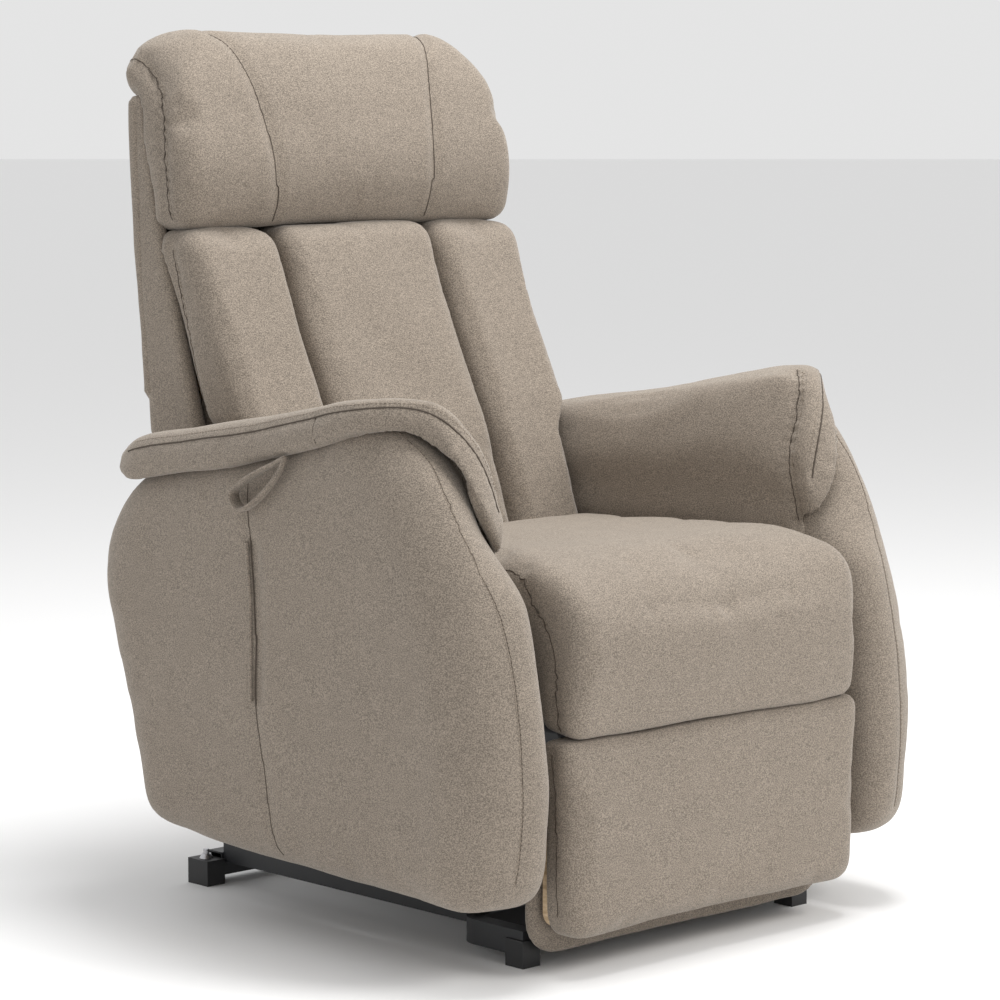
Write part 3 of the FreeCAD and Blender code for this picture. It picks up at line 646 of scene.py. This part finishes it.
def headrest():
    """The rolled head cushion, which wraps over the top of the back."""
    loop = rounded_loop([
        (264, 842, 26), (250, 925, 120), (288, 1040, 120), (330, 1100, 70), (394, 1098, 50),
        (414, 1050, 40),
        (396, 1014, 24), (352, 1008, 20), (340, 842, 10),
    ])
    obj = block("headrest_cover", loop, "x", 4 - HEAD_HALF, HEAD_HALF - 4, 34, 34)
    remesh(obj, 6.5, 4)
    puff(obj, 8)
    round_head_corners(obj)
    rumple(obj, 130, 3.0, 1.0)
    rumple(obj, 42, 0.8, 6.0)
    cover(obj, "back", ["headrest_cushion"])
    for side in (-1, 1):
        name = side_name(side)
        line = smooth_path([
            (side * 131, 262, 846), (side * 134, 250, 900), (side * 140, 262, 960),
            (side * 152, 288, 1030),
            (side * 172, 322, 1086), (side * 188, 362, 1102), (side * 194, 400, 1080),
            (side * 196, 414, 1045),
        ], 90)
        press_line(obj, line, 15, 5.0)
        seam("headrest_seam_" + name, obj, line, 1.0)
        edge_seam(obj, "headrest_edge_" + name, side, [
            (-292, 289, 853), (-293, 293, 897), (-292, 298, 947), (-289, 304, 991), (-284, 316, 1022),
            (-277, 334, 1042), (-272, 358, 1056), (-272, 384, 1062), (-274, 404, 1052),
        ], 15, 2.2, 3.0, 13)


def round_head_corners(obj):
    """In the front view the top corners are well rounded."""
    points = coordinates(obj.data)
    radius = 84 + 56 * np.clip((385 - points[:, 1] / MM) / 70, 0, 1)
    rise = np.clip((points[:, 2] / MM - (1100 - radius)) / radius, 0, 1)
    shrink = radius * (1 - np.sqrt(1 - rise * rise * 0.93)) * 0.85
    points[:, 0] *= (HEAD_HALF - shrink) / HEAD_HALF
    write_coordinates(obj.data, points)


def back_shell():
    """The covered outer back, with side walls that run forward beside the frame."""
    loop = rounded_loop([
        (300, 324, 10), (322, 588, 60), (345, 819, 60), (354, 1016, 10), (377, 1016, 16),
        (370, 819, 60),
        (345, 588, 60), (320, 324, 10),
    ])
    panel = block("back_panel_cover", loop, "x", -BACK_HALF, BACK_HALF, 9, 9)
    remesh(panel, 6.5, 3)
    points = coordinates(panel.data)
    share = np.clip((points[:, 2] / MM - 600) / 40, 0, 1)
    points[:, 0] *= (SEAT_HALF + (BACK_HALF - SEAT_HALF) * share) / BACK_HALF
    write_coordinates(panel.data, points)
    rumple(panel, 140, 3.0, 4.0)
    cover(panel, "back", ["back_shell"])
    for side in (-1, 1):
        wall = rounded_loop([
            (236, 578, 14), (318, 850, 30), (348, 1016, 20), (372, 1016, 14), (363, 819, 60),
            (336, 572, 14),
        ])
        low, high = sorted((side * (BACK_HALF - 24), side * (BACK_HALF - 2)))
        obj = block("back_side_cover_" + side_name(side), wall, "x", low, high, 8, 8)
        remesh(obj, 6.0, 3)
        rumple(obj, 70, 2.0, 9.0)
        cover(obj, "back", [])
        lower = rounded_loop([(172, 436, 12), (258, 640, 20), (334, 610, 20), (312, 436, 14)])
        low, high = sorted((side * (SEAT_HALF - 20), side * (SEAT_HALF - 2)))
        obj = block("back_lower_side_cover_" + side_name(side), lower, "x", low, high, 7, 7)
        remesh(obj, 5.0, 3)
        cover(obj, "back", [])


ARM_OUTLINE = [
    (234, 112, 34), (328, 440, 90), (256, 556, 70), (20, 594, 200), (-120, 628, 150), (-215, 646, 80),
    (-272, 610, 60), (-312, 560, 80), (-350, 485, 140), (-380, 400, 140), (-399, 300, 140),
    (-403, 210, 120),
    (-396, 84, 60), (-150, 88, 300), (40, 94, 300),
]


def rounded_nose(loop, x):
    """Rounds the front edge across the arm, and lets the shoulder fall away behind the pad's front."""
    result = loop.copy()
    front = np.clip((-60 - loop[:, 0]) / 140, 0, 1)
    high = np.clip((loop[:, 1] - 520) / 90, 0, 1)
    behind_pad = np.clip((loop[:, 1] - 440) / 80, 0, 1)
    across = (x - ARM_INNER) / (ARM_OUTER - ARM_INNER)
    outer = 34 * np.clip((x - 315) / 80, 0, 1) ** 1.3 + 12 * across * high
    inner = 24 * np.clip((300 - x) / 38, 0, 1) ** 1.5 + 48 * np.clip((345 - x) / 83, 0, 1) * behind_pad
    result[:, 0] += (outer + inner) * front
    below_pad = 78 * np.clip((322 - x) / 50, 0, 1) * np.clip((loop[:, 1] - 470) / 130, 0, 1)
    result[:, 1] -= below_pad * np.clip((loop[:, 0] + 270) / 60, 0, 1)
    return result


def arm_side(side):
    """Outer arm panel, softly domed, with a wide roll at its outer edge."""
    name = side_name(side)
    loop = rounded_loop(ARM_OUTLINE, 200)
    obj = block("arm_side_cover_" + name, loop, "x", ARM_INNER + 2, ARM_OUTER, 16, 40, rounded_nose)
    remesh(obj, 7.5, 5)
    puff(obj, 6)
    mirror_to(obj, side)
    rumple(obj, 150, 4.0, 2.0 + side)
    rumple(obj, 50, 1.0, 7.0)
    cover(obj, "chair", ["arm_body_" + name, "arm_frame_" + name])
    for row, back in enumerate((0, 8)):
        line = smooth_path([
            (side * 354, -226 + back, 640), (side * 343, -262 + back, 600),
            (side * 349, -308 + back, 556),
            (side * 343, -352 + back, 495), (side * 334, -376 + back, 430),
            (side * 331, -396 + back, 361),
            (side * 330, -404 + back, 270), (side * 330, -402 + back, 190),
            (side * 331, -390 + back, 125),
        ], 160)
        if row == 0:
            press_line(obj, line, 12, 1.8)
            seam("arm_front_seam_" + name, obj, line, 0.7)
        stitches("arm_front_stitch_%s_%d" % (name, row + 1), obj, line)
    if side < 0:
        pocket_seam(obj)


def mirror_to(obj, side):
    """Pieces are drawn for the sitter's left and mirrored for the right."""
    if side > 0:
        return
    points = coordinates(obj.data)
    points[:, 0] *= -1
    write_coordinates(obj.data, points)
    obj.data.flip_normals()


def pocket_seam(obj):
    """The panel's upright seam, part of which is an open slit, as a side pocket."""
    outer = -ARM_OUTER - 4
    line = smooth_path([
        (outer, 11, 560), (outer, 2, 483), (outer, -3, 390), (outer, -5, 297), (outer, -20, 215),
        (outer, -30, 155), (outer, -44, 100),
    ], 120)
    press_line(obj, line, 13, 2.4)
    seam("side_panel_seam", obj, line, 0.9)
    slit = [point for point in line if 300 < point[2] < 484]
    press_line(obj, np.array(slit) + np.array([0, -7, 0]), 16, 4.5)
    lip = smooth_path([(outer, 6, 486), (outer, 3, 400), (outer, 0, 296)], 50)
    cord("pocket_lip", obj, onto(surface_tree(obj), lip, 1.2), 2.6, FABRIC, BEVEL_DEFAULT)


# Edges of the arm pad, from its rear end over the crest and down the front to the seat, as (x, y, z):
# where it meets the inner panel, the seam along its outer top, and the lower edge of its lip.
PAD_INNER = [
    (278, 266, 562), (280, 228, 584), (282, 134, 598), (284, 18, 614), (286, -93, 634),
    (288, -165, 646),
    (292, -212, 652), (296, -240, 650), (294, -258, 640), (284, -266, 618), (270, -272, 592),
    (262, -276, 560),
    (262, -282, 528), (262, -290, 495),
]
PAD_CREST = [
    (380, 266, 574), (386, 226, 594), (388, 134, 609), (388, 18, 627), (388, -93, 650),
    (388, -150, 662),
    (382, -190, 667), (362, -222, 669), (340, -246, 667), (321, -262, 657), (303, -274, 638),
    (284, -284, 610),
    (270, -290, 573), (263, -299, 530),
]
PAD_LOWER = [
    (386, 264, 550), (397, 226, 545), (400, 134, 561), (399, 18, 580), (399, -93, 604),
    (398, -150, 619),
    (393, -186, 629), (378, -209, 634), (357, -232, 635), (337, -256, 621), (328, -288, 596),
    (312, -304, 562),
    (294, -311, 528), (270, -307, 492),
]
PAD_STEPS = 72
PAD_THICK = 28.0
PAD_FOOT = 452.0  # height where the inner panel ends, below the seat's top

# Directions across the pad where it lies level, and where it runs down the front of the arm.
LEVEL_INWARD, FRONT_INWARD = np.array([-22.0, 3.0, 2.0]), np.array([-2.0, 14.0, 0.0])
LEVEL_RISE, FRONT_RISE = np.array([0, -0.15, 1.0]), np.array([-0.3, -0.6, 0.2])
LEVEL_UNDER, FRONT_UNDER = np.array([0.0, 14.0, -PAD_THICK]), np.array([4.0, 24.0, -4.0])


def pad_ring(a, b, c):
    """The pad's section through one point of its inner edge, its crest and its lower edge."""
    foot = np.array([ARM_INNER, min(262, max(a[1], -288)), PAD_FOOT])
    wall = np.array([ARM_INNER, a[1], max(462, a[2] - 2.2 * (a[0] - ARM_INNER) - 10)])
    level = 1.0 if b[1] > -150 else np.clip((b[2] - 600) / 50, 0, 1)
    inward = LEVEL_INWARD * level + FRONT_INWARD * (1 - level)
    rise = FRONT_RISE * (1 - level) + LEVEL_RISE * level
    crown = min(8.0, np.linalg.norm(b - a) * 0.09)
    under = LEVEL_UNDER * level + FRONT_UNDER * (1 - level)
    inside = np.array([PAD_THICK, 0, 0])
    return smooth_loop([
        foot, 0.5 * (foot + wall), wall, a, a * 0.7 + b * 0.3 + rise * crown,
        a * 0.35 + b * 0.65 + rise * crown, b, 0.5 * (b + c) + np.array([6.0, -3.0, 0]), c, c + inward,
        0.5 * (b + c) + inward * 1.4, b * 0.75 + a * 0.25 + under, a * 0.8 + b * 0.2 + under,
        wall + inside, 0.5 * (foot + wall) + inside, foot + 0.7 * inside,
    ], 110)


def arm_pad(side):
    """Arm top and inner panel in one sweep: lip outside, crown on top, face down to the seat."""
    name = side_name(side)
    inner, crest, lower = (smooth_path(edge, PAD_STEPS) for edge in (PAD_INNER, PAD_CREST, PAD_LOWER))
    obj = loft("arm_pad_cover_" + name, [pad_ring(a, b, c) for a, b, c in zip(inner, crest, lower)])
    remesh(obj, 5.5, 3)
    puff(obj, 3)
    mirror_to(obj, side)
    rumple(obj, 120, 2.4, 12.0 + side)
    rumple(obj, 40, 0.7, 4.0)
    cover(obj, "chair", ["arm_pad_" + name])
    flip = np.array([side, 1, 1])
    edge = crest * 0.72 + lower * 0.28
    top_seam = edge[3:-2] * flip
    press_line(obj, top_seam, 9, 1.8)
    seam("arm_pad_seam_" + name, obj, top_seam, 1.2, 0.0)
    stitches("arm_pad_stitch_" + name, obj, (crest * 0.9 + lower * 0.1)[4:-4] * flip)
    joint = PAD_STEPS * 11 // 20
    cross = np.linspace(edge[joint], lower[joint], 16) * flip
    press_line(obj, cross, 7, 1.2)
    seam("arm_pad_join_" + name, obj, cross, 0.6)
    front = smooth_path([
        (322, -222, 676), (304, -244, 660), (288, -254, 640), (274, -260, 612), (ARM_INNER, -262, 575),
        (ARM_INNER, -270, 530), (ARM_INNER, -280, 484),
    ], 90) * flip
    press_line(obj, front, 13, 2.2, 2.4, 13)
    seam("arm_inner_seam_" + name, obj, front, 0.8)
    stitches("arm_inner_stitch_" + name, obj, front - np.array([0, 6, 0]))


def pull_loop():
    """Strap folded into a narrow loop that hangs from under the arm pad, towards the rear."""
    outer = -ARM_OUTER - 2
    loop = smooth_loop([
        (-70, 596), (-46, 586), (-18, 573), (8, 558), (22, 546), (18, 532), (3, 524), (-14, 530),
        (-32, 543),
        (-50, 560), (-66, 580),
    ], 80)
    loops = (loop, inset_loop(loop, 6.0))
    sections = ((0, 1), (0, 20), (1, 20), (1, 1))
    vertices = []
    faces = []
    for number in range(len(loop)):
        for which, out in sections:
            y, z = loops[which][number]
            flare = 1 - 0.55 * np.clip((y + 10) / -50, 0, 1)
            vertices.append(((outer + 2 - out * flare) * MM, y * MM, z * MM))
    count = len(loop)
    corners = len(sections)
    for number in range(count):
        following = (number + 1) % count
        for k in range(corners):
            n = (k + 1) % corners
            faces.append((number * corners + k, number * corners + n, following * corners + n,
                          following * corners + k))
    obj = new_object("pull_loop_strap", vertices, faces)
    obj.data.materials.append(FABRIC)
    modifier = obj.modifiers.new("soften", "SUBSURF")
    modifier.levels = 2
    modifier.render_levels = 2
    bake_modifiers(obj)
    smooth_shading(obj)
    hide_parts("pull_loop")
    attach(obj, "chair")


def footrest():
    """The padded panel on the front of the footrest board."""
    half = SEAT_HALF - 3
    loop = rounded_loop([(-half, 43, 36), (half, 43, 36), (half, 278, 14), (-half, 278, 14)], 200)
    obj = block("footrest_cover", loop, "y", -405, -343, 22, 8)
    remesh(obj, 6.0, 4)
    puff(obj, 7, held=(262, 200))
    rumple(obj, 120, 3.0, 15.0)
    rumple(obj, 42, 0.9, 5.0)
    cover(obj, "footrest", ["footrest_pad"])
    for side in (-1, 1):
        edge_seam(obj, "footrest_seam_" + side_name(side), side, [
            (-257, -368, 262), (-257, -370, 200), (-257, -371, 130), (-256, -371, 70),
        ], 12, 1.6, 1.2, 19)


def kick_board():
    """The covered panel behind the footrest, which reaches lower than the pad."""
    half = SEAT_HALF - 3
    loop = rounded_loop([(-half, 18, 50), (half, 18, 50), (half, 132, 12), (-half, 132, 12)], 160)
    obj = block("kick_board_cover", loop, "y", -337, -321, 7, 7)
    remesh(obj, 5.0, 3)
    rumple(obj, 60, 1.6, 21.0)
    cover(obj, "upper_links", ["kick_board"])


# ---------------------------------------------------------------- stage, light and camera


FLOOR_HALF = 60.0
LAMPS = (  # name, place, size, watts, colour
    ("key", (1.7, -3.2, 3.0), 1.5, 72, (1.0, 0.985, 0.96)),
    ("top", (0.3, -0.2, 3.4), 1.2, 74, (1.0, 1.0, 1.0)),
)
LAMP_TARGET = Vector((0, 0, 0.5))
CAMERA_AT = (-3.0272, -3.2251, 1.0098)
CAMERA_AZIMUTH = math.radians(-43.31)
CAMERA_PITCH = math.radians(6.49)
CAMERA_LENS = 126.7


def stage_and_light():
    """A pale floor under a pale sky, a soft key lamp in front and a soft lamp above."""
    floor_mesh = bpy.data.meshes.new("studio_floor")
    corners = [(x * FLOOR_HALF, y * FLOOR_HALF, 0) for x, y in ((-1, -1), (1, -1), (1, 1), (-1, 1))]
    floor_mesh.from_pydata(corners, [], [(0, 1, 2, 3)])
    floor = bpy.data.objects.new("studio_floor", floor_mesh)
    bpy.context.collection.objects.link(floor)
    material, _, _, shader = principled("pale_floor")
    shader.inputs["Base Color"].default_value = (0.90, 0.90, 0.90, 1)
    shader.inputs["Roughness"].default_value = 0.9
    shader.inputs["Specular IOR Level"].default_value = 0.1
    floor_mesh.materials.append(material)
    world = bpy.data.worlds.new("studio_world")
    world.use_nodes = True
    sky = world.node_tree.nodes["Background"]
    sky.inputs["Color"].default_value = (1.0, 1.0, 1.0, 1)
    sky.inputs["Strength"].default_value = 0.78
    bpy.context.scene.world = world
    for name, place, extent, power, colour in LAMPS:
        light = bpy.data.lights.new(name, "AREA")
        light.energy = power
        light.size = extent
        light.color = colour
        lamp = bpy.data.objects.new(name, light)
        lamp.location = place
        lamp.rotation_euler = (LAMP_TARGET - Vector(place)).to_track_quat("-Z", "Y").to_euler()
        bpy.context.collection.objects.link(lamp)


def camera():
    """The photo's view: a long lens from the chair's front and its right."""
    data = bpy.data.cameras.new("view")
    data.sensor_width = 36
    data.lens = CAMERA_LENS
    data.clip_end = 60
    obj = bpy.data.objects.new("view", data)
    obj.location = CAMERA_AT
    level = math.cos(CAMERA_PITCH)
    back = Vector((
        math.sin(CAMERA_AZIMUTH) * level, -math.cos(CAMERA_AZIMUTH) * level, math.sin(CAMERA_PITCH),
    ))
    obj.rotation_euler = (-back).to_track_quat("-Z", "Y").to_euler()
    bpy.context.collection.objects.link(obj)
    bpy.context.scene.camera = obj


bpy.context.scene.view_settings.view_transform = "Standard"
camera()
stage_and_light()
dress_cad_nodes()
seat_cushion()
back_channels()
headrest()
back_shell()
for which in (-1, 1):
    arm_side(which)
    arm_pad(which)
pull_loop()
footrest()
kick_board()
